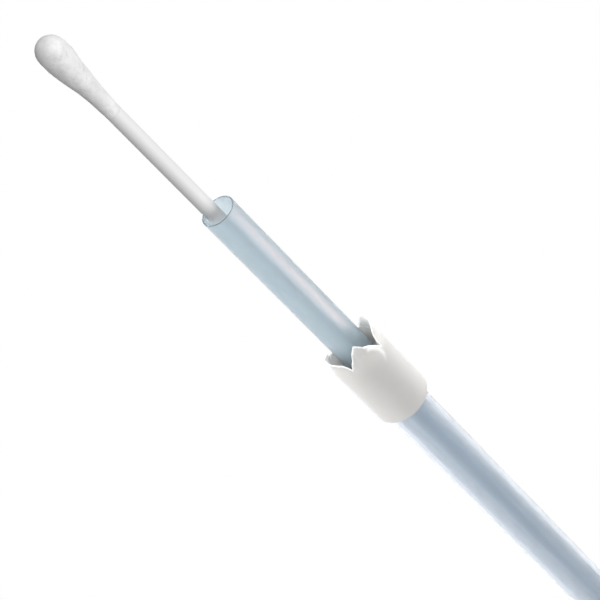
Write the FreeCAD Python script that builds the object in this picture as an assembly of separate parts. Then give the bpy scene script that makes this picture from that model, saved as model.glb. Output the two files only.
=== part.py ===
import FreeCAD, Part
import math
import os

from FreeCAD import Vector

# A double-guarded swab, in the state it is used in: the inner tube has been pushed out through the end cap, which has
# burst into four petals, and the swab has been pushed out of the inner tube.
#
# Millimetres and degrees. The tubes run along X. The bud is at the -X end and the end that the user pushes on is at
# the +X end. The origin is the centre of the outer tube's rear end face. +Z is up, and the swab lies on the floor of
# the inner tube.

# Outer tube: the clear sheath.
OUTER_LENGTH = 105.0
OUTER_DIAMETER = 8.0
OUTER_WALL = 0.4

# Inner tube: the milky tube that slides in the sheath.
INNER_LENGTH = 180.0
INNER_DIAMETER = 6.1
INNER_WALL = 0.25
INNER_STANDOUT = 45.8  # from the sheath's front end to the inner tube's mouth

# Swab: a plain shaft with a wound bud.
SWAB_LENGTH = 250.0
SWAB_STANDOUT = 43.0  # from the inner tube's mouth to the tip of the bud
SHAFT_DIAMETER = 2.7
FLOOR_GAP = 0.35  # left between the shaft and the floor of the inner tube

BUD_LENGTH = 17.2
BUD_DIAMETER = 5.04
BUD_FULL_LENGTH = 4.2  # from the tip to the end of the full diameter
BUD_CORE_COVER = 3.5  # fibre ahead of the shaft's hidden end
BUD_TAIL_FIBRE = 0.05  # thickness of the fibre where it runs out on the shaft
BUD_SHOULDER = 1.5  # length over which the taper leaves the full diameter
BUD_TAIL_REACH = 6.8  # length over which the taper runs out along the shaft

# End cap: a soft cap that grips the sheath. Its closed front was thin, and has burst.
CAP_DIAMETER = 10.5
CAP_GRIP = 10.2  # length that grips the sheath
CAP_CHAMBER = 6.2  # length ahead of the sheath's end, up to the root of the petals
CAP_CHAMBER_RING = 0.5  # length over which the grip's bore opens into the chamber
CAP_REAR_ROUND = 1.0
CAP_SKIN = 0.35  # wall at the root of the petals
CAP_TIP_SKIN = 0.22  # wall at the tips of the petals
WAIST_DIAMETER = 9.7  # outside, at the root of the petals
WAIST_EASE = 2.4  # length over which the front narrows to the waist
WAIST_EASE_END = 1.0  # the part of it that sets how steeply the front arrives at the waist

# The petals. Angles are counted about +X from PETAL_TURN, and heights ahead of the root. Each petal has the angles of
# the two tears beside it, the height of its blank, and how far its middle and its tip bend out (in, if negative).
PETAL_TURN = 133.0
PETALS = [
    (-47.0, 34.0, 3.8, -0.35, -0.5),
    (34.0, 142.0, 2.7, 0.0, 0.3),
    (142.0, 220.0, 3.1, 0.0, 0.2),
    (220.0, 313.0, 2.7, 0.0, 0.45),
]
# The torn edge all the way round, as angle and height.
TORN_EDGE = [
    (-47.0, -1.0),
    (-2.5, 3.6),
    (0.5, 3.65),
    (34.0, 0.0),
    (46.0, 1.6),
    (86.0, 2.4),
    (97.0, 2.0),
    (142.0, -0.8),
    (177.0, 2.9),
    (183.0, 2.8),
    (220.0, -0.8),
    (231.0, 0.3),
    (254.0, 2.35),
    (267.0, 2.45),
    (298.0, 0.5),
]

outer_radius = OUTER_DIAMETER / 2
outer_bore = outer_radius - OUTER_WALL
inner_radius = INNER_DIAMETER / 2
inner_bore = inner_radius - INNER_WALL
shaft_radius = SHAFT_DIAMETER / 2
bud_radius = BUD_DIAMETER / 2
cap_radius = CAP_DIAMETER / 2
waist_radius = WAIST_DIAMETER / 2

outer_front = -OUTER_LENGTH
inner_mouth = outer_front - INNER_STANDOUT
swab_tip = inner_mouth - SWAB_STANDOUT
crown_base = outer_front - CAP_CHAMBER
cap_rear = outer_front + CAP_GRIP

tube_axis = Vector()
swab_axis = Vector(0, 0, FLOOR_GAP + shaft_radius - inner_bore)

ALONG = Vector(1, 0, 0)
TORN_CLEARANCE = 1.5  # between the thin wall and the ring that cuts its torn edge, on every side
cut_inside = waist_radius - CAP_SKIN - TORN_CLEARANCE
cut_outside = cap_radius + TORN_CLEARANCE
cut_front = crown_base - max(height for _, _, height, _, _ in PETALS) - TORN_CLEARANCE


def at(x, radius):
    """The point of a turned profile at that place along the axis and that distance from it."""
    return Vector(x, 0, radius)


def line(start, end):
    return Part.LineSegment(at(*start), at(*end)).toShape()


def bend(*poles):
    """A Bezier edge of a turned profile."""
    curve = Part.BezierCurve()
    curve.setPoles([at(*pole) for pole in poles])
    return curve.toShape()


def turned(edges, start=0.0, sweep=360.0):
    """The solid that a closed profile makes when it is turned about the X axis, from an angle counted from +Y."""
    face = Part.Face(Part.Wire(edges))
    face.rotate(Vector(), ALONG, start - 90.0)
    return face.revolve(Vector(), ALONG, sweep)


def rod(start, length, radius, axis):
    return Part.makeCylinder(radius, length, axis + ALONG * start, ALONG)


def tube(start, length, radius, bore):
    return rod(start, length, radius, tube_axis).cut(rod(start, length, bore, tube_axis))


def outer_tube():
    return tube(outer_front, OUTER_LENGTH, outer_radius, outer_bore)


def inner_tube():
    return tube(inner_mouth, INNER_LENGTH, inner_radius, inner_bore)


def swab_shaft():
    return rod(swab_tip + BUD_CORE_COVER, SWAB_LENGTH - BUD_CORE_COVER, shaft_radius, swab_axis)


def swab_bud():
    """The wound fibre: a round tip, a full front and a taper that runs out on the shaft."""
    shoulder = swab_tip + BUD_FULL_LENGTH
    tail = swab_tip + BUD_LENGTH
    core = swab_tip + BUD_CORE_COVER
    tail_radius = shaft_radius + BUD_TAIL_FIBRE
    round_end = swab_tip + bud_radius
    quarter = bud_radius * math.sqrt(0.5)
    tip = Part.Arc(
        at(swab_tip, 0),
        at(round_end - quarter, quarter),
        at(round_end, bud_radius),
    ).toShape()
    taper = bend(
        (shoulder, bud_radius),
        (shoulder + BUD_SHOULDER, bud_radius),
        (tail - BUD_TAIL_REACH, tail_radius),
        (tail, tail_radius),
    )
    bud = turned([
        tip,
        line((round_end, bud_radius), (shoulder, bud_radius)),
        taper,
        line((tail, tail_radius), (tail, shaft_radius)),
        line((tail, shaft_radius), (core, shaft_radius)),
        line((core, shaft_radius), (core, 0)),
        line((core, 0), (swab_tip, 0)),
    ])
    bud.translate(swab_axis)
    return bud


def cap_body():
    """The cap behind the petals: a thick grip on the sheath and a thinner chamber ahead of the sheath's end."""
    chamber = waist_radius - CAP_SKIN
    front = crown_base + WAIST_EASE
    ring = outer_front - CAP_CHAMBER_RING
    quarter = CAP_REAR_ROUND * (1 - math.sqrt(0.5))
    waist = bend((crown_base, waist_radius), (crown_base + WAIST_EASE_END, cap_radius), (front, cap_radius))
    rear_round = Part.Arc(
        at(cap_rear - CAP_REAR_ROUND, cap_radius),
        at(cap_rear - quarter, cap_radius - quarter),
        at(cap_rear, cap_radius - CAP_REAR_ROUND),
    ).toShape()
    return turned([
        waist,
        line((front, cap_radius), (cap_rear - CAP_REAR_ROUND, cap_radius)),
        rear_round,
        line((cap_rear, cap_radius - CAP_REAR_ROUND), (cap_rear, outer_radius)),
        line((cap_rear, outer_radius), (outer_front, outer_radius)),
        line((outer_front, outer_radius), (ring, chamber)),
        line((ring, chamber), (crown_base, chamber)),
        line((crown_base, chamber), (crown_base, waist_radius)),
    ])


def petal_blank(start, end, height, middle_bend, tip_bend):
    """One petal before its edge is torn: a sector of thin wall that bends towards its tip."""
    inside = waist_radius - CAP_SKIN
    middle = crown_base - height / 2
    tip = crown_base - height
    tip_radius = waist_radius + tip_bend
    tip_inside = tip_radius - CAP_TIP_SKIN
    edges = [
        bend((crown_base, waist_radius), (middle, waist_radius + middle_bend), (tip, tip_radius)),
        line((tip, tip_radius), (tip, tip_inside)),
        bend((tip, tip_inside), (middle, inside + middle_bend), (crown_base, inside)),
        line((crown_base, inside), (crown_base, waist_radius)),
    ]
    return turned(edges, PETAL_TURN + start, end - start)


def torn_away():
    """A ring in pieces, one for each stretch of the torn edge. Its rear face follows the edge."""
    sections = []
    for angle, height in TORN_EDGE + TORN_EDGE[:1]:
        edge = crown_base - height
        corners = [at(edge, cut_inside), at(edge, cut_outside), at(cut_front, cut_outside), at(cut_front, cut_inside)]
        section = Part.makePolygon(corners + corners[:1])
        section.rotate(Vector(), ALONG, PETAL_TURN + angle - 90.0)
        sections.append(section)
    return [
        Part.makeLoft([first, second], True, True)
        for first, second in zip(sections, sections[1:])
    ]


def end_cap():
    cap = cap_body().multiFuse([petal_blank(*petal) for petal in PETALS])
    return cap.cut(torn_away()).removeSplitter()


pieces = {
    "swab_bud": swab_bud,
    "swab_shaft": swab_shaft,
    "inner_tube": inner_tube,
    "outer_tube": outer_tube,
    "end_cap": end_cap,
}

os.makedirs("parts", exist_ok=True)
for name, make in pieces.items():
    shape = make()
    shape.exportStep(f"parts/{name}.step")
    box = shape.BoundBox
    print(
        f"{name}: {len(shape.Solids)} solid, valid {shape.isValid()}, {shape.Volume:.1f} mm3, "
        f"x {box.XMin:.2f} {box.XMax:.2f}, y {box.YMin:.2f} {box.YMax:.2f}, z {box.ZMin:.2f} {box.ZMax:.2f}"
    )
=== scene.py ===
import math

import bpy
import numpy as np
from mathutils import Matrix, Vector


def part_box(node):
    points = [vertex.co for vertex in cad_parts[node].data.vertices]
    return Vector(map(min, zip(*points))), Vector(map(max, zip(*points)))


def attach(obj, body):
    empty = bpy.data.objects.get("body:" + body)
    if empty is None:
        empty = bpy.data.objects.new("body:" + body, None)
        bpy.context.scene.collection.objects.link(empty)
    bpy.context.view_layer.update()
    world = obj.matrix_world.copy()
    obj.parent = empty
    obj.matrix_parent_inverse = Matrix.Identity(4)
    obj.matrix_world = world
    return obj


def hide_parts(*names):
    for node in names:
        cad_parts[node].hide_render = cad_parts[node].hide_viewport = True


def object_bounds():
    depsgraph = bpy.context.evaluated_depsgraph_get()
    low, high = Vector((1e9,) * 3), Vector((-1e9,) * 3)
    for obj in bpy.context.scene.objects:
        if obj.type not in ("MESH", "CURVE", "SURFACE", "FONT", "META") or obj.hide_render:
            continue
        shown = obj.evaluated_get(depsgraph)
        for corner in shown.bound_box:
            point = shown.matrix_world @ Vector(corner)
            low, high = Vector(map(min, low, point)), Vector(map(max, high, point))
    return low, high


# The looks of a double-guarded swab. Every shape is a fine mesh around a CAD node, and takes its place and its main
# sizes from that node's box. Lengths are written in millimetres and turned into metres with MM, apart from the lamps'
# sizes and distances, which are in metres. The tubes run along X, and the bud is at the -X end.

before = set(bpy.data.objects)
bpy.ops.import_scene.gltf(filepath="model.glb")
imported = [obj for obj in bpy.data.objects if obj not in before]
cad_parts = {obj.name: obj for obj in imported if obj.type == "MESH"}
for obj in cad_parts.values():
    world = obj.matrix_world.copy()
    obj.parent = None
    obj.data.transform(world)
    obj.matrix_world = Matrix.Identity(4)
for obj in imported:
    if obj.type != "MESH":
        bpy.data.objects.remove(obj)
cad_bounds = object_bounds()

MM = 0.001


def span(node):
    """A node's lowest and highest place along the tubes, the height of its axis and its radius, in millimetres."""
    low, high = (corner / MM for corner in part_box(node))
    return low.x, high.x, (low.z + high.z) / 2, (high.y - low.y) / 2


bud_tip, bud_tail, swab_height, bud_radius = span("swab_bud")
_, shaft_rear, _, shaft_radius = span("swab_shaft")
outer_front, _, _, outer_radius = span("outer_tube")
petal_front, cap_rear, _, cap_radius = span("end_cap")

# What the boxes don't tell, as in the CAD model.
INNER_WALL = 0.25
OUTER_WALL = 0.4
BUD_FULL_LENGTH = 4.2
BUD_SHOULDER = 1.5
BUD_TAIL_REACH = 6.8
BUD_TAIL_FIBRE = 0.05
CAP_REAR_ROUND = 1.0
CAP_SKIN = 0.35
CAP_TIP_SKIN = 0.22
CAP_CHAMBER_RING = 0.5
LONGEST_PETAL = 3.65
WAIST_RADIUS = 4.85
WAIST_EASE = 2.4
WAIST_EASE_END = 1.0
PETAL_TURN = 133.0  # the angle of the first petal's tip about +X, from +Y; the camera looks straight at it

crown_base = petal_front + LONGEST_PETAL  # the petals' root

# ------------------------------------------------------------------------------------------------------------ camera

VIEW_SWING = math.radians(37.9)  # how far the view is turned from square-on towards the bud
VIEW_RAISE = math.radians(180.0 - PETAL_TURN)  # how far the view is raised about the tubes
VIEW_ROLL = math.radians(45.297)
VIEW_DISTANCE = 355.0
AIM_X = -126.5  # the place on the tubes' axis that the camera looks at
AIM_ASIDE = 0.63  # how far the axis passes beside the middle of the view
LENS = 129.0
SENSOR = 36.0
NEAREST = 10.0  # nothing nearer to the camera is drawn


def make_camera():
    ahead = Vector((1, 0, 0))
    facing = Vector((0, -math.cos(VIEW_RAISE), math.sin(VIEW_RAISE)))
    above = Vector((0, math.sin(VIEW_RAISE), math.cos(VIEW_RAISE)))
    look = ahead * math.sin(VIEW_SWING) - facing * math.cos(VIEW_SWING)
    level = ahead * math.cos(VIEW_SWING) + facing * math.sin(VIEW_SWING)
    right = level * math.cos(VIEW_ROLL) + above * math.sin(VIEW_ROLL)
    up = above * math.cos(VIEW_ROLL) - level * math.sin(VIEW_ROLL)
    place = ahead * AIM_X - above * AIM_ASIDE - look * VIEW_DISTANCE
    turn = Matrix((right, up, -look)).transposed().to_4x4()
    camera = bpy.data.objects.new("camera", bpy.data.cameras.new("camera"))
    camera.data.lens = LENS
    camera.data.sensor_width = SENSOR
    camera.data.clip_start = NEAREST * MM
    camera.matrix_world = Matrix.Translation(place * MM) @ turn
    bpy.context.collection.objects.link(camera)
    bpy.context.scene.camera = camera


# -------------------------------------------------------------------------------------------------------- mesh tools


def smooth_step(value, start, end):
    """0 before start, 1 after end, and an even curve between them."""
    share = np.clip((value - start) / (end - start), 0.0, 1.0)
    return share * share * (3 - 2 * share)


def bump(value, middle, width):
    """A round hill of height 1 at middle, that is low again at about width from it."""
    return np.exp(-((value - middle) / width) ** 2)


def bezier(poles, steps):
    """Points of a Bezier curve, both ends included."""
    share = np.linspace(0, 1, steps)[:, None]
    points = [np.broadcast_to(np.array(pole, float), (steps, 2)) for pole in poles]
    while len(points) > 1:
        points = [first * (1 - share) + second * share for first, second in zip(points, points[1:])]
    return points[0]


def waves(grid, count, low, high, seed):
    """A smooth random field over points of any shape (..., 3): a sum of plane waves with spatial frequencies, in
    turns per millimetre, between low and high. Its spread is about 1."""
    random = np.random.default_rng(seed)
    field = np.zeros(grid.shape[:-1])
    for _ in range(count):
        direction = random.normal(size=3)
        direction *= random.uniform(low, high) * 2 * math.pi / np.linalg.norm(direction)
        field += np.sin(grid @ direction + random.uniform(0, 2 * math.pi))
    return field / math.sqrt(count / 2)


def turn_angles(columns):
    return np.linspace(0, 2 * math.pi, columns, endpoint=False)


def around(x, radius, angles):
    """Points [row, column, xyz] from places and radii [row, column] or [row, 1] about the tubes' axis."""
    x, radius = np.broadcast_arrays(x, radius + np.zeros((1, len(angles))))
    return np.stack([x, radius * np.cos(angles), radius * np.sin(angles)], -1)


def add_piece(name, points, faces, material):
    """A smooth mesh with its points in millimetres."""
    mesh = bpy.data.meshes.new(name)
    mesh.from_pydata((points * MM).tolist(), [], faces)
    mesh.validate()
    mesh.shade_smooth()
    mesh.materials.append(material)
    piece = bpy.data.objects.new(name, mesh)
    bpy.context.collection.objects.link(piece)
    return piece


def skin(name, grid, material, loop=False, ends=(), marks=None):
    """A mesh over a grid of points [row, column, xyz] in millimetres. The columns close round the axis, the rows close
    when loop is set, and each end is a middle point that closes the first or the last row. marks is a number for each
    point of the grid, from 0 to 1, that the material reads as the attribute "mark"."""
    rows, columns = grid.shape[:2]
    index = np.arange(rows * columns).reshape(rows, columns)
    lower = index if loop else index[:-1]
    upper = np.roll(index, -1, 0) if loop else index[1:]
    quads = np.stack([lower, np.roll(lower, -1, 1), np.roll(upper, -1, 1), upper], -1).reshape(-1, 4)
    faces = quads.tolist()
    points = grid.reshape(-1, 3)
    for row, middle in ends:
        points = np.vstack([points, middle])
        ring = index[row]
        following = np.roll(ring, -1)
        if row == 0:
            ring, following = following, ring
        faces += [[a, b, len(points) - 1] for a, b in zip(ring.tolist(), following.tolist())]
    piece = add_piece(name, points, faces, material)
    if marks is not None:
        layer = piece.data.attributes.new("mark", "FLOAT", "POINT")
        values = np.zeros(len(points), np.float32)
        values[: marks.size] = marks.ravel()
        layer.data.foreach_set("value", values)
    return piece


# --------------------------------------------------------------------------------------------------------- materials


class Nodes:
    """A short way to write the nodes of a material, or of the world."""

    def __init__(self, name, owner=None):
        self.material = owner or bpy.data.materials.new(name)
        self.material.use_nodes = True
        self.tree = self.material.node_tree
        self.shader = self.tree.nodes.get("Principled BSDF")

    def add(self, kind, inputs=(), **settings):
        node = self.tree.nodes.new(kind)
        for key, value in settings.items():
            setattr(node, key, value)
        for socket, value in dict(inputs).items():
            self.set(node.inputs[socket], value)
        return node

    def set(self, socket, value):
        if isinstance(value, bpy.types.NodeSocket):
            self.tree.links.new(value, socket)
        else:
            socket.default_value = value

    def surface(self, **inputs):
        for socket, value in inputs.items():
            self.set(self.shader.inputs[socket.replace("_", " ")], value)

    def noise(self, scale, detail=4.0, stretch=(1, 1, 1), roughness=0.55):
        place = self.add("ShaderNodeTexCoord").outputs["Object"]
        mapped = self.add("ShaderNodeMapping", {"Vector": place, "Scale": stretch})
        return self.add(
            "ShaderNodeTexNoise",
            {"Vector": mapped.outputs["Vector"], "Scale": scale, "Detail": detail, "Roughness": roughness},
        ).outputs["Fac"]

    def maths(self, operation, first, second, third=0.0, clamp=False):
        inputs = {0: first, 1: second, 2: third}
        return self.add("ShaderNodeMath", inputs, operation=operation, use_clamp=clamp).outputs[0]

    def scattered(self):
        """Two values: 1 for a ray that a matt surface reflected, and 1 for a ray that came through plastic."""
        rays = self.add("ShaderNodeLightPath").outputs
        through = rays["Is Transmission Ray"]
        return self.maths("SUBTRACT", rays["Is Diffuse Ray"], through, clamp=True), through

    def mark(self):
        return self.add("ShaderNodeAttribute", attribute_name="mark").outputs["Fac"]

    def mix(self, share, first, second):
        node = self.add("ShaderNodeMix", data_type="RGBA")
        self.set(node.inputs[0], share)
        for socket, value in ((node.inputs[6], first), (node.inputs[7], second)):
            self.set(socket, value if isinstance(value, bpy.types.NodeSocket) else (*value, 1.0))
        return node.outputs[2]

    def ramp(self, value, stops):
        node = self.add("ShaderNodeValToRGB", {"Fac": value})
        points = node.color_ramp.elements
        while len(points) < len(stops):
            points.new(0.5)
        for point, (place, colour) in zip(points, stops):
            point.position = place
            point.color = (*colour, 1.0)
        return node.outputs["Color"]

    def relief(self, height, depth, strength=1.0):
        return self.add(
            "ShaderNodeBump", {"Height": height, "Distance": depth, "Strength": strength}
        ).outputs["Normal"]


def grey(level):
    return (level, level, level)


MILKY_TINTS = (0.635, 0.752, 0.82), (0.675, 0.782, 0.845)
# Painted shade for the inner tube's cut rims.
MILKY_RIM_SHADE = (0.1, 0.2, 0.25)
CLEAR_TINT = (0.79, 0.84, 0.93, 1.0)
CAP_TINTS = (0.515, 0.505, 0.49), (0.555, 0.545, 0.53)
# The white that the mark mixes in: real whitening at the torn edge and the crease, a painted highlight on the fold's
# ridge, and painted light inside the petals.
CAP_WHITE_AND_PAINTED_LIGHT = (0.95, 0.95, 0.945)


def fibre_material():
    nodes = Nodes("fibre")
    clouds = nodes.noise(700.0, 6.0, (0.7, 1.0, 1.0), 0.65)
    nodes.surface(
        Base_Color=nodes.ramp(clouds, [(0.32, grey(0.74)), (0.62, grey(0.87))]),
        Roughness=0.95,
        Normal=nodes.relief(clouds, 0.1 * MM, 0.45),
    )
    nodes.surface(Sheen_Weight=0.25, Sheen_Roughness=0.6, Specular_IOR_Level=0.1)
    return nodes.material


def shaft_material():
    nodes = Nodes("shaft_plastic")
    mottle = nodes.noise(220.0, 3.0, (0.15, 1.0, 1.0))
    grain = nodes.noise(2500.0, 2.0)
    nodes.surface(
        Base_Color=nodes.ramp(mottle, [(0.3, grey(0.79)), (0.7, grey(0.84))]),
        Roughness=0.55,
        Normal=nodes.relief(grain, 0.01 * MM, 0.3),
    )
    return nodes.material


def milky_material():
    """The mark is 1 on the cut rims, which are painted dark: painted shade for the light that the wall's cut ends
    trap.
    """
    nodes = Nodes("milky_plastic")
    streaks = nodes.noise(160.0, 3.0, (0.06, 1.0, 1.0))
    tint = nodes.ramp(streaks, [(0.3, MILKY_TINTS[0]), (0.7, MILKY_TINTS[1])])
    # The cut rims get a dark colour mixed in: painted shade, not a colour of the plastic.
    nodes.surface(
        Base_Color=nodes.mix(nodes.mark(), tint, MILKY_RIM_SHADE),
        Roughness=0.3,
        Normal=nodes.relief(streaks, 0.02 * MM, 0.2),
    )
    nodes.surface(Transmission_Weight=0.85, IOR=1.4, Alpha=0.8)
    return nodes.material


def clear_material():
    nodes = Nodes("clear_plastic")
    streaks = nodes.noise(120.0, 3.0, (0.04, 1.0, 1.0))
    nodes.surface(
        Base_Color=CLEAR_TINT,
        Roughness=nodes.ramp(streaks, [(0.3, grey(0.12)), (0.7, grey(0.18))]),
        Normal=nodes.relief(streaks, 0.02 * MM, 0.2),
    )
    nodes.surface(Transmission_Weight=0.9, IOR=1.3, Alpha=0.6)
    return nodes.material


def cap_material():
    """The mark says how white the plastic is: drawn out at the torn edge, creased at the fold with a painted highlight
    on its ridge, and painted light inside the petals, where their insides are lit.
    """
    nodes = Nodes("soft_plastic")
    clouds = nodes.noise(140.0, 4.0)
    grain = nodes.noise(1400.0, 3.0)
    body = nodes.ramp(clouds, [(0.3, CAP_TINTS[0]), (0.7, CAP_TINTS[1])])
    nodes.surface(
        Base_Color=nodes.mix(nodes.mark(), body, CAP_WHITE_AND_PAINTED_LIGHT),
        Roughness=0.6,
        Normal=nodes.relief(grain, 0.02 * MM, 0.25),
    )
    nodes.surface(Transmission_Weight=0.5, IOR=1.5, Coat_Weight=0.6, Coat_Roughness=0.35, Coat_IOR=1.5)
    return nodes.material


def floor_material():
    """White paper. Diffuse light from it is held back, so that the undersides stay as dark as in a light tent with an
    open floor, while it looks white and shows white in gloss and through the plastics."""
    nodes = Nodes("floor")
    lit = nodes.add("ShaderNodeEmission", {"Color": (1, 1, 1, 1), "Strength": FLOOR_GLOW})
    paper = nodes.add("ShaderNodeBsdfDiffuse", {"Color": (*grey(FLOOR_SHADE), 1)})
    bounced, _ = nodes.scattered()
    both = nodes.add("ShaderNodeMixShader", {0: bounced, 1: lit.outputs[0], 2: paper.outputs[0]})
    nodes.set(nodes.tree.nodes["Material Output"].inputs["Surface"], both.outputs[0])
    nodes.tree.nodes.remove(nodes.shader)
    nodes.material.cycles.emission_sampling = "NONE"
    return nodes.material


# -------------------------------------------------------------------------------------------------------------- swab

# Random fields are written as waves() takes them: number of waves, lowest and highest turns per millimetre, and seed.

BUD_ROWS = 260
BUD_COLUMNS = 240
BUD_NOSE = 3.2  # length of the rounded tip
BUD_BLUNTNESS = 0.8
BUD_END_POINT = 0.002  # how far the middle points that close the tip and the tail stand out
BUD_TAIL_POINT = 0.01
BUD_LUMPS = (40, 0.08, 0.3, 11)
BUD_LUMP = 0.05
BUD_STRANDS = (120, 0.8, 2.2, 12)
BUD_STRAND = 0.005
STRAND_WIND = 0.5  # how far the strands wind round in a millimetre along, in radians
STRAND_STRETCH = 0.7
STRAND_LEAST = 0.4  # the share of the strands' depth that is left at the tail
EVEN_FROM = 9.0  # behind this distance from the tip the bud gets more even
BUD_SAG = 0.13  # how far the fibre lies off the shaft's axis, towards the floor
SAG_END = (3.0, 13.0)  # where the sag begins to fade and where it is gone
TAIL_PATCHES = (40, 0.3, 1.2, 13)
TAIL_RAGGED = 0.5
TAIL_RAGGED_FROM = (12, 15)
BUD_TAIL_FADE = 2.2  # length over which the last fibres thin out on the shaft
BUD_TAIL_BARE = 0.2
BARE_FIBRE = 0.004  # what is left of the fibre's thickness on the shaft there

FIBRES = 500
STRAY_FIBRES = 260
FIBRE_SEED = 41
FIBRE_STEPS = 12
FIBRE_SIDES = 3
FIBRE_RADIUS = 0.006
FIBRE_THINNING = 0.6  # the share of the radius that the ends lose
FIBRE_START = (0.25, 13.5)
STRAY_START = (0.3, 12.0)
FIBRE_LENGTH = (1.5, 4.5)
FIBRE_PITCH = (0.35, 0.5)  # its middle and spread, in radians from square round the bud
FIBRE_BEND = (0.0, 0.5)
FIBRE_BEND_SHARE = 0.6
FIBRE_FIRST = 0.15  # the nearest that a fibre comes to the bud's tip and to its tail
FIBRE_LAST = 0.3
FIBRE_TIGHTEST = 0.6  # the least radius that a fibre is wound round
FIBRE_ARCH = 0.02
FIBRE_SUNK = 0.008
STRAY_LIFT = (0.03, 0.16)

SHAFT_COLUMNS = 96
SHAFT_ROWS = 120
SHAFT_START = 4.0  # how far behind the bud's tip the shaft begins, hidden in the fibre
SHAFT_BARE_FROM = 1.0  # its rows begin this far ahead of the bud's tail
SHAFT_CHAMFER = 0.12
CHAMFER_KNEE = 0.3
SHAFT_WAVES = (20, 0.05, 0.5, 21)
SHAFT_WAVE_STRETCH = (0.15, 0.5, 0.5)
SHAFT_UNEVEN = 0.004


def bud_profile():
    """Distance from the tip and radius, from the tip to the tail."""
    tail = bud_tail - bud_tip
    tail_radius = shaft_radius + BUD_TAIL_FIBRE
    quarter = np.linspace(0, math.pi / 2, BUD_ROWS // 3)[1:, None]
    tip = np.hstack([BUD_NOSE * (1 - np.cos(quarter)), bud_radius * np.sin(quarter) ** BUD_BLUNTNESS])
    taper = bezier(
        [
            (BUD_FULL_LENGTH, bud_radius),
            (BUD_FULL_LENGTH + BUD_SHOULDER, bud_radius),
            (tail - BUD_TAIL_REACH, tail_radius),
            (tail, tail_radius),
        ],
        BUD_ROWS - len(tip),
    )
    profile = np.vstack([tip, taper])
    length = np.concatenate([[0], np.cumsum(np.hypot(*np.diff(profile, axis=0).T))])
    even = np.linspace(0, length[-1], BUD_ROWS)
    return np.stack([np.interp(even, length, column) for column in profile.T], -1)


def bud_points(along, radius, angles, lift=0.0):
    """Points on the bud's surface from the distance behind the tip, the even radius there and the angle."""
    length = bud_tail - bud_tip
    place = np.stack([along, radius * np.cos(angles), radius * np.sin(angles)], -1)
    wound_angles = angles + along * STRAND_WIND
    wound = np.stack([along * STRAND_STRETCH, radius * np.cos(wound_angles), radius * np.sin(wound_angles)], -1)
    soft = 1 - smooth_step(along, EVEN_FROM, length)
    lumps = waves(place, *BUD_LUMPS) * BUD_LUMP * soft
    strands = waves(wound, *BUD_STRANDS) * BUD_STRAND * (STRAND_LEAST + (1 - STRAND_LEAST) * soft)
    full = radius + (lumps + strands + lift) * np.clip(radius / bud_radius, 0.0, 1.0)
    ragged = waves(place, *TAIL_PATCHES) * TAIL_RAGGED * smooth_step(along, *TAIL_RAGGED_FROM)
    thin = smooth_step(along + ragged, length - BUD_TAIL_FADE, length - BUD_TAIL_BARE)
    full = full * (1 - thin) + np.minimum(full, shaft_radius + BARE_FIBRE) * thin
    sag = BUD_SAG * (1 - smooth_step(along, *SAG_END))
    return np.stack([
        bud_tip + along,
        full * np.cos(angles) - sag * math.sin(VIEW_RAISE),
        full * np.sin(angles) - sag * math.cos(VIEW_RAISE) + swab_height,
    ], -1)


def make_bud(material):
    along, radius = (column[:, None] + np.zeros((1, BUD_COLUMNS)) for column in bud_profile().T)
    grid = bud_points(along, radius, turn_angles(BUD_COLUMNS) + 0 * along)
    tip = grid[0].mean(0) - (BUD_END_POINT, 0.0, 0.0)
    tail = (bud_tail + BUD_TAIL_POINT, 0.0, swab_height)
    bud = skin("bud", grid, material, ends=[(0, tip), (BUD_ROWS - 1, tail)])
    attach(bud, "swab")
    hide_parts("swab_bud")
    return bud


def fibre_line(random, profile, stray):
    """The middle line of a fibre that lies wound on the bud. A stray one lifts off it towards its end."""
    share = np.linspace(0, 1, FIBRE_STEPS)
    start = random.uniform(*(STRAY_START if stray else FIBRE_START))
    length = random.uniform(*FIBRE_LENGTH)
    pitch = random.normal(*FIBRE_PITCH)
    bend = random.normal(*FIBRE_BEND)
    along = start + length * (math.sin(pitch) * share + bend * share * (1 - share) * FIBRE_BEND_SHARE)
    along = np.clip(along, FIBRE_FIRST, bud_tail - bud_tip - FIBRE_LAST)
    radius = np.interp(along, profile[:, 0], profile[:, 1])
    wound = length * math.cos(pitch) * share / np.maximum(radius, FIBRE_TIGHTEST)
    turn = random.uniform(0, 2 * math.pi) + wound
    lift = FIBRE_ARCH * np.sin(share * math.pi) * random.uniform(0.0, 1.0) - FIBRE_SUNK
    if stray:
        lift = lift + share**2 * random.uniform(*STRAY_LIFT)
    return bud_points(along, radius, turn, lift)


def fibre_skin(line):
    """Points [step, side, xyz] round a fibre's line, thinner at its ends."""
    ahead = np.gradient(line, axis=0)
    ahead /= np.linalg.norm(ahead, axis=1, keepdims=True)
    out = line - (0, 0, swab_height)
    out[:, 0] = 0
    out /= np.linalg.norm(out, axis=1, keepdims=True)
    side = np.cross(ahead, out)
    side /= np.linalg.norm(side, axis=1, keepdims=True)
    over = np.cross(side, ahead)
    share = np.linspace(0, 1, FIBRE_STEPS)
    thick = FIBRE_RADIUS * (1 - FIBRE_THINNING * np.abs(2 * share - 1) ** 3)
    turns = turn_angles(FIBRE_SIDES)[None, :, None]
    return line[:, None] + thick[:, None, None] * (np.cos(turns) * side[:, None] + np.sin(turns) * over[:, None])


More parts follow.
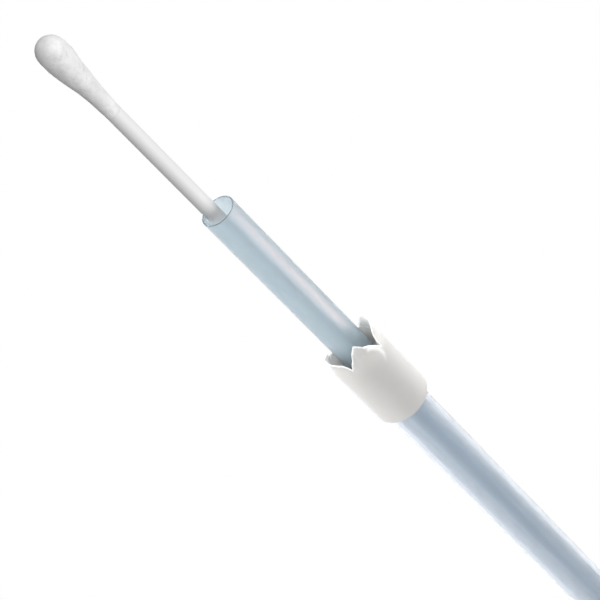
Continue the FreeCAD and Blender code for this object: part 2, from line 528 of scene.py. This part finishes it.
def make_fibres(material):
    """Single fibres that lie wound on the bud, and a few that stand off it, as one mesh of closed tubes."""
    random = np.random.default_rng(FIBRE_SEED)
    profile = bud_profile()
    lines = [fibre_line(random, profile, number >= FIBRES) for number in range(FIBRES + STRAY_FIBRES)]
    points = np.vstack([fibre_skin(line).reshape(-1, 3) for line in lines])
    faces = []
    for index in np.arange(len(points)).reshape(-1, FIBRE_STEPS, FIBRE_SIDES):
        following = np.roll(index, -1, 1)
        walls = np.stack([index[:-1], index[1:], following[1:], following[:-1]], -1)
        faces += [*walls.reshape(-1, 4).tolist(), index[0].tolist(), index[-1, ::-1].tolist()]
    fibres = add_piece("bud_fibres", points, faces, material)
    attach(fibres, "swab")
    return fibres


def make_shaft(material):
    start = bud_tip + SHAFT_START
    x = [start, *np.linspace(bud_tail - SHAFT_BARE_FROM, shaft_rear - SHAFT_CHAMFER, SHAFT_ROWS)]
    radius = [shaft_radius] * len(x)
    x += [shaft_rear - SHAFT_CHAMFER * CHAMFER_KNEE, shaft_rear]
    radius += [shaft_radius - SHAFT_CHAMFER * CHAMFER_KNEE, shaft_radius - SHAFT_CHAMFER]
    grid = around(np.array(x)[:, None], np.array(radius)[:, None], turn_angles(SHAFT_COLUMNS))
    grid[..., 1:] *= 1 + SHAFT_UNEVEN * waves(grid * SHAFT_WAVE_STRETCH, *SHAFT_WAVES)[..., None]
    grid[..., 2] += swab_height
    ends = [(0, (start, 0, swab_height)), (len(x) - 1, (shaft_rear, 0, swab_height))]
    shaft = skin("shaft", grid, material, ends=ends)
    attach(shaft, "swab")
    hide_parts("swab_shaft")
    return shaft


# ------------------------------------------------------------------------------------------------------------- tubes

TUBE_ROWS = 90
TUBE_COLUMNS = 144
RIM_STEPS = 5
INNER_RIM = 0.06
OUTER_RIM = 0.1
CUT_SHARE = 0.9  # the share of the rim's round that counts as the cut face


def make_tube(name, node, body, material, wall, rim):
    """An open tube with a rounded rim at both ends, as one closed skin."""
    front, rear, _, radius = span(node)
    bore = radius - wall
    places = np.linspace(front + rim, rear - rim, TUBE_ROWS)
    corner = np.linspace(0, math.pi / 2, RIM_STEPS)
    rear_rim = [(rear - rim + rim * math.sin(a), radius - rim + rim * math.cos(a)) for a in corner]
    rear_inside = [(rear - rim + rim * math.cos(a), bore + rim - rim * math.sin(a)) for a in corner]
    front_inside = [(front + rim - rim * math.sin(a), bore + rim - rim * math.cos(a)) for a in corner]
    front_rim = [(front + rim - rim * math.cos(a), radius - rim + rim * math.sin(a)) for a in corner]
    loop = [(x, radius) for x in places[1:-1]] + rear_rim + rear_inside
    loop += [(x, bore) for x in places[-2:0:-1]] + front_inside + front_rim
    loop = np.array(loop)
    grid = around(loop[:, :1], loop[:, 1:], turn_angles(TUBE_COLUMNS))
    # The rows of the cut faces carry the mark, which the material paints dark as painted shade.
    cut = (loop[:, 0] < front + rim * CUT_SHARE) | (loop[:, 0] > rear - rim * CUT_SHARE)
    tube = skin(name, grid, material, loop=True, marks=np.repeat(cut[:, None], TUBE_COLUMNS, 1).astype(float))
    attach(tube, body)
    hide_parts(node)
    return tube


# --------------------------------------------------------------------------------------------------------------- cap

# Heights are measured ahead of the petals' root, and angles in degrees from the first petal's tip.

# The torn edge all the way round: angle and height.
TORN_EDGE = [
    (-47, -1.0), (-44, -0.75), (-38, 0.2), (-28, 1.25), (-17, 2.2), (-9, 2.95), (-2.5, 3.6), (0.5, 3.65), (6, 3.2),
    (13, 2.65), (22, 1.45), (29, 0.6), (34, 0.0), (38, 1.0), (45, 1.75), (58, 2.15), (72, 2.3), (86, 2.4), (97, 2.0),
    (121, 0.75), (142, -0.8), (158, 0.6), (170, 2.2), (177, 2.9), (183, 2.8), (198, 1.5), (212, 0.2), (220, -0.8),
    (231, 0.4), (243, 1.8), (254, 2.4), (267, 2.5), (280, 2.45), (292, 2.2), (301, 1.7), (307, 0.9), (311, 0.1),
    (313, -1.0),
]
EDGE_NICKS = (40, 0.4, 2.0, 31)
EDGE_NICK = 0.05
EDGE_FRAYS = (40, 2.0, 4.5, 32)
EDGE_FRAY = 0.025
EDGE_SMOOTH = (-0.7, 0.6)  # the edge is smooth below the first height and ragged above the second
# Each petal: its start and end angles, its height, and how far its middle and its tip bend out.
PETALS = [
    (-47, 34, 3.8, -0.35, -0.5),
    (34, 142, 2.7, -0.04, 0.3),
    (142, 220, 3.1, 0.0, 0.2),
    (220, 313, 2.7, -0.04, 0.5),
]
PETAL_REACH = 1.2  # the share of a petal's height up to which its bend is worked out
PETAL_BEND_FULL = 1.2  # the height from which the middle bends fully
# The plastic is drawn a little wavy towards the edge. Each: the field, its depth, and where it begins and is full.
DRAWN_LONG = ((50, 0.25, 0.8, 33), 0.035, (-2.6, 1.2))
DRAWN_SHORT = ((50, 1.2, 2.6, 34), 0.012, (-0.8, 1.4))
DRAWN_STRETCH = 0.35
TORN_DEPTH = 0.55  # how far behind the edge the torn plastic is thinner and white
TORN_THINNING = 0.45
# A soft fold on the first petal's shoulder: angle and height.
FOLD = [(-20, 1.0), (-25, 0.75), (-30.5, 0.1), (-36, -0.75), (-35.5, -2.0), (-31, -2.9), (-28, -4.2)]
FOLD_HEIGHT = 0.11
FOLD_WIDTH = 0.42
FOLD_FADE = 0.6  # the share of the fold's length after which it fades out
# The fold's white line and how white it gets are partly whitening of the crease and partly a painted highlight on its
# ridge.
FOLD_WHITE = 0.4  # the width of its white line
FOLD_CREASE_AND_HIGHLIGHT = 0.6
FOLD_HOLLOW = 0.16
HOLLOW_PLACE = (-12, -1.0)  # angle and height
HOLLOW_WIDTH = 1.9
# Inside the petals the plastic is painted white as painted light, rising between the two heights.
INSIDE_PAINTED_LIGHT = 0.8
INSIDE_LIGHT_HEIGHTS = (-3.5, -1.0)

CAP_COLUMNS = 560
CAP_BODY_ROWS = 16
CAP_CROWN_ROWS = 64
CAP_LIP_ROWS = 5
CAP_REAR_ROWS = 12
CROWN_DEPTH = 5.2  # the rows this far behind the petals' root follow the torn edge
LIP_ROUND = 0.4  # how far the lip stands ahead of the torn edge, as a share of its thickness
CHAMBER_FROM = -0.2  # below this height the inside is no wider than the chamber
WAIST_FRONT = (-0.8, 0.3)  # how far behind the petals' root the waist begins, and where it starts to widen
WAIST_STEPS = 60
CAP_CLEARANCE = 0.01  # between the bore and the sheath


def waist_radius(behind):
    """The outside radius of the cap's front, from how far behind the petals' root it is."""
    poles = [(place, WAIST_RADIUS) for place in WAIST_FRONT]
    poles += [(WAIST_EASE_END, cap_radius), (WAIST_EASE, cap_radius)]
    curve = bezier(poles, WAIST_STEPS)
    return np.interp(behind, curve[:, 0], curve[:, 1])


def fold_relief(height, degrees):
    """How far the plastic stands out along the fold and lies in beside it, in millimetres, and how white the fold
    is: partly whitening of the crease and partly a painted highlight on its ridge."""
    turned = np.where(degrees > 180, degrees - 360, degrees)
    across, along = np.radians(turned) * cap_radius, height
    line = np.array([(math.radians(angle) * cap_radius, place) for angle, place in FOLD])
    nearest = np.full(height.shape, np.inf)
    share = np.zeros(height.shape)
    steps = len(line) - 1
    for step, (start, end) in enumerate(zip(line, line[1:])):
        run = end - start
        part = np.clip(((across - start[0]) * run[0] + (along - start[1]) * run[1]) / (run @ run), 0, 1)
        gap = np.hypot(across - start[0] - part * run[0], along - start[1] - part * run[1])
        closer = gap < nearest
        nearest = np.where(closer, gap, nearest)
        share = np.where(closer, (step + part) / steps, share)
    fade = 1 - smooth_step(share, FOLD_FADE, 1.0)
    hollow_angle, hollow_height = HOLLOW_PLACE
    hollow = bump(across, math.radians(hollow_angle) * cap_radius, HOLLOW_WIDTH)
    hollow = hollow * bump(along, hollow_height, HOLLOW_WIDTH)
    relief = FOLD_HEIGHT * fade * bump(nearest, 0, FOLD_WIDTH) - FOLD_HOLLOW * hollow
    return relief, fade * bump(nearest, 0, FOLD_WHITE)


def crown_radius(height, degrees):
    """The outside radius of the cap at a height ahead of the petals' root."""
    radius = waist_radius(-height)
    for start, end, tall, middle, tip in PETALS:
        share = np.clip(height / tall, 0, PETAL_REACH)
        bent = 2 * share * (1 - share) * middle * smooth_step(height, 0, PETAL_BEND_FULL) + share**2 * tip
        radius = radius + np.where((degrees >= start) & (degrees < end), bent, 0)
    return radius + fold_relief(height, degrees)[0]


def torn_edge(degrees, ring):
    """The torn edge's height, with its nicks, at angles and at the points of a ring."""
    angles, heights = np.array(TORN_EDGE, float).T
    edge = np.interp(degrees, angles, heights)
    ragged = waves(ring, *EDGE_NICKS) * EDGE_NICK + waves(ring, *EDGE_FRAYS) * EDGE_FRAY
    return edge + ragged * smooth_step(edge, *EDGE_SMOOTH)


def crown_rows(degrees):
    """The rows of the crown from behind to the torn edge: their heights, the outside radius, the skin's thickness, and
    how torn the plastic is, from 0 to 1."""
    ring = np.stack([np.cos(np.radians(degrees)), np.sin(np.radians(degrees)), 0 * degrees], -1) * cap_radius
    edge = torn_edge(degrees, ring)
    share = np.linspace(0, 1, CAP_CROWN_ROWS)[:, None]
    height = -CROWN_DEPTH + (edge + CROWN_DEPTH) * share
    torn = smooth_step(edge - height, TORN_DEPTH, 0.0)
    thick = CAP_SKIN + (CAP_TIP_SKIN - CAP_SKIN) * np.clip(height / LONGEST_PETAL, 0, 1)
    thick = thick * (1 - TORN_THINNING * torn)
    place = np.stack([height * DRAWN_STRETCH, ring[:, 0] + 0 * height, ring[:, 1] + 0 * height], -1)
    drawn = 0
    for field, depth, reach in (DRAWN_LONG, DRAWN_SHORT):
        drawn = drawn + waves(place, *field) * depth * smooth_step(height, *reach)
    return height, crown_radius(height, degrees) + drawn, thick, torn


def make_cap(material):
    degrees = np.linspace(TORN_EDGE[0][0], TORN_EDGE[-1][0], CAP_COLUMNS, endpoint=False)
    height, outside, thick, torn = crown_rows(degrees)
    crown_x = crown_base - height
    # A rounded lip joins the outside to the inside at the torn edge.
    lip = np.linspace(0, math.pi, CAP_LIP_ROWS + 2)[1:-1, None]
    lip_x = crown_x[-1] - np.sin(lip) * thick[-1] * LIP_ROUND
    lip_radius = outside[-1] - thick[-1] * (1 - np.cos(lip)) / 2
    body_x = np.linspace(cap_rear - CAP_REAR_ROUND, crown_base + CROWN_DEPTH, CAP_BODY_ROWS)[1:-1, None]
    rear = np.linspace(0, math.pi / 2, CAP_REAR_ROWS)[:, None]
    rear_x = cap_rear - CAP_REAR_ROUND * (1 - np.cos(rear))
    rear_radius = cap_radius - CAP_REAR_ROUND * (1 - np.sin(rear))
    bore = outer_radius + CAP_CLEARANCE
    chamber = WAIST_RADIUS - CAP_SKIN
    inside = outside - thick
    inside = np.where(height < CHAMBER_FROM, np.minimum(inside, chamber), inside)
    # The torn edge is white, and the fold is white partly from the crease and partly as a painted highlight.
    torn_and_fold_highlight = np.maximum(torn, FOLD_CREASE_AND_HIGHLIGHT * fold_relief(height, degrees + 0 * height)[1])
    # The torn edge is white, and the insides of the petals are painted white as painted light.
    torn_and_inside_light = np.maximum(torn, INSIDE_PAINTED_LIGHT * smooth_step(height, *INSIDE_LIGHT_HEIGHTS))
    # Places, radii and marks, from the rear round forwards, over the lip, and back through the bore.
    strips = [
        (rear_x, rear_radius, 0.0),
        (body_x, cap_radius, 0.0),
        (crown_x, outside, torn_and_fold_highlight),
        (lip_x, lip_radius, 1.0),
        (crown_x[::-1], inside[::-1], torn_and_inside_light[::-1]),
        (np.array([[outer_front - CAP_CHAMBER_RING]]), chamber, 0.0),
        (np.array([[outer_front], [cap_rear]]), bore, 0.0),
    ]
    wide = np.zeros((1, CAP_COLUMNS))
    x, radius, marks = (np.vstack([strip[part] + 0 * strip[0] + wide for strip in strips])[::-1] for part in range(3))
    grid = around(x, radius, np.radians(degrees + PETAL_TURN))
    cap = skin("cap", grid, material, loop=True, marks=marks)
    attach(cap, "outer_guard")
    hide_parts("end_cap")
    return cap


# ------------------------------------------------------------------------------------------------------------ studio

FLOOR_SIZE = 6.0
FLOOR_GLOW = 1.0
FLOOR_SHADE = 0.21
SKY = 0.62
SKY_THROUGH = 0.44
SKY_IN_GLOSS = 1.0
PANEL = 0.8  # the side of the large lamps
KEY = 0.6
GLOSS = 0.62
GLOSS_TOWARD = (0.614, 0.243, 0.751)
GLOSS_DISTANCE = 0.02
GLOSS_LENGTH = 0.028
GLOSS_WIDTH = 0.035
GLOSS_MIDDLE = -137.0
GLOSS_SPREAD = 75.0
GLOSS_COLOUR = (1.0, 0.56, 0.42)
GLOW_SIZE = 1.2
GLOW_RAISE = 0.01  # how far the glow lamps are above the floor
GLOSSY_BOUNCES = 12
LEAST_BOUNCES = 10  # fewer bounces than this are never cut short, which keeps the plastics smooth


def add_light(name, toward, size, strength, receivers=(), blockers=(), distance=1.0):
    """A soft square light that looks at the middle of the view. strength is the grey level that it gives white paper
    that faces it. It lights only the receivers and only the blockers cast its shadows, when there are any."""
    light = bpy.data.objects.new(name, bpy.data.lights.new(name, "AREA"))
    light.data.size = size
    light.data.energy = strength * math.pi**2 * distance**2
    toward = Vector(toward).normalized()
    place = Matrix.Translation(Vector((AIM_X * MM, 0, 0)) + toward * distance)
    light.matrix_world = place @ toward.to_track_quat("Z", "Y").to_matrix().to_4x4()
    light.visible_camera = False
    bpy.context.collection.objects.link(light)
    for use, pieces in (("receiver", receivers), ("blocker", blockers)):
        if pieces:
            linked = bpy.data.collections.new(f"{name}_{use}")
            for piece in pieces:
                linked.objects.link(piece)
            setattr(light.light_linking, f"{use}_collection", linked)
    return light


def add_gloss_light(tube):
    """A warm lamp close to the inner tube, that gives it its long highlight and nothing else."""
    light = add_light("gloss", GLOSS_TOWARD, GLOSS_LENGTH, GLOSS, [tube], distance=GLOSS_DISTANCE)
    toward = light.matrix_world.col[2].to_3d()
    along = (Vector((1, 0, 0)) - toward * toward.x).normalized()
    turn = Matrix((along, toward.cross(along), toward)).transposed().to_4x4()
    light.matrix_world = Matrix.Translation(Vector((GLOSS_MIDDLE * MM, 0, 0)) + toward * GLOSS_DISTANCE) @ turn
    light.data.shape = "RECTANGLE"
    light.data.size_y = GLOSS_WIDTH
    light.data.spread = math.radians(GLOSS_SPREAD)
    light.data.color = GLOSS_COLOUR
    light.visible_diffuse = light.visible_transmission = False


def add_glow(name, piece, strength, floor_height):
    """Light from the paper that reaches one plastic only."""
    light = add_light(name, (0, 0, -1), GLOW_SIZE, 1.0, [piece])
    light.location = (AIM_X * MM, 0, floor_height + GLOW_RAISE * MM)
    light.data.energy = strength * math.pi * GLOW_SIZE**2
    light.visible_glossy = light.visible_transmission = False


def make_floor(height):
    bpy.ops.mesh.primitive_plane_add(size=FLOOR_SIZE, location=(AIM_X * MM, 0, height))
    floor = bpy.context.object
    floor.name = "floor"
    floor.data.materials.append(floor_material())
    return floor


def make_sky():
    """White in gloss, and darker where it lights matt surfaces or is seen through plastic."""
    world = bpy.data.worlds.new("studio")
    nodes = Nodes("studio", world)
    bounced, through = nodes.scattered()
    level = nodes.maths("MULTIPLY_ADD", bounced, SKY - SKY_IN_GLOSS, SKY_IN_GLOSS)
    level = nodes.maths("ADD", level, nodes.maths("MULTIPLY", through, SKY_THROUGH - SKY_IN_GLOSS))
    background = nodes.tree.nodes["Background"]
    nodes.set(background.inputs["Color"], (1, 1, 1, 1))
    nodes.set(background.inputs["Strength"], level)
    return world


def make_studio(fibre_pieces, shaft, inner, outer, cap):
    scene = bpy.context.scene
    scene.view_settings.view_transform = "Standard"
    scene.cycles.glossy_bounces = GLOSSY_BOUNCES
    scene.cycles.min_light_bounces = scene.cycles.min_transparent_bounces = LEAST_BOUNCES
    floor_height = cad_bounds[0].z
    floor = make_floor(floor_height)
    scene.world = make_sky()
    # The key light stands past the bud. The shaft has its own on the other side, so that the inner tube's rim puts the
    # shaft in the shade inside the mouth.
    key = add_light("key", (-0.5, -0.06, 0.85), PANEL, KEY, [floor, cap, inner, outer, *fibre_pieces])
    shaft_key = add_light("shaft_key", (0.5, -0.06, 0.85), PANEL, KEY, [shaft])
    key.visible_transmission = shaft_key.visible_transmission = False
    add_gloss_light(inner)
    add_light("rim", (-0.1, 0.84, 0.545), PANEL, 1.55, [cap])
    # Two lights show only as gloss on the sheath.
    sheen = add_light("sheen", (0.614, 0.475, 0.63), 0.5, 0.08, [outer])
    edge = add_light("edge", (0.614, 0.774, 0.151), 0.6, 0.2, [outer])
    for light in (sheen, edge):
        light.visible_diffuse = light.visible_transmission = False
    add_light("front_low", (-0.7, -0.67, 0.06), PANEL, 0.8, [cap])
    add_light("tube_low", (-0.3, -0.9, 0.06), PANEL, 0.42, [inner], blockers=[cap])
    add_light("front_high", (-0.7, -0.01, 0.67), PANEL, 0.25, [cap, inner])
    # Two lights reach the petals' insides through the tubes.
    add_light("petals_low", (-0.8, -0.5, 0.2), PANEL, 0.12, [cap], blockers=[cap])
    add_light("petals_high", (-0.75, 0.45, 0.45), PANEL, 0.35, [cap], blockers=[cap])
    add_glow("glow", inner, 1.15, floor_height)
    add_glow("sheath_glow", outer, 5.0, floor_height)
    add_glow("cap_glow", cap, 2.7, floor_height)


# -------------------------------------------------------------------------------------------------------------- main

make_camera()
fibre = fibre_material()
fibre_pieces = [make_bud(fibre), make_fibres(fibre)]
shaft = make_shaft(shaft_material())
inner_sleeve = make_tube(
    "inner_sleeve", "inner_tube", "inner_guard", milky_material(), INNER_WALL, INNER_RIM
)
outer_sleeve = make_tube(
    "outer_sleeve", "outer_tube", "outer_guard", clear_material(), OUTER_WALL, OUTER_RIM
)
cap = make_cap(cap_material())
make_studio(fibre_pieces, shaft, inner_sleeve, outer_sleeve, cap)
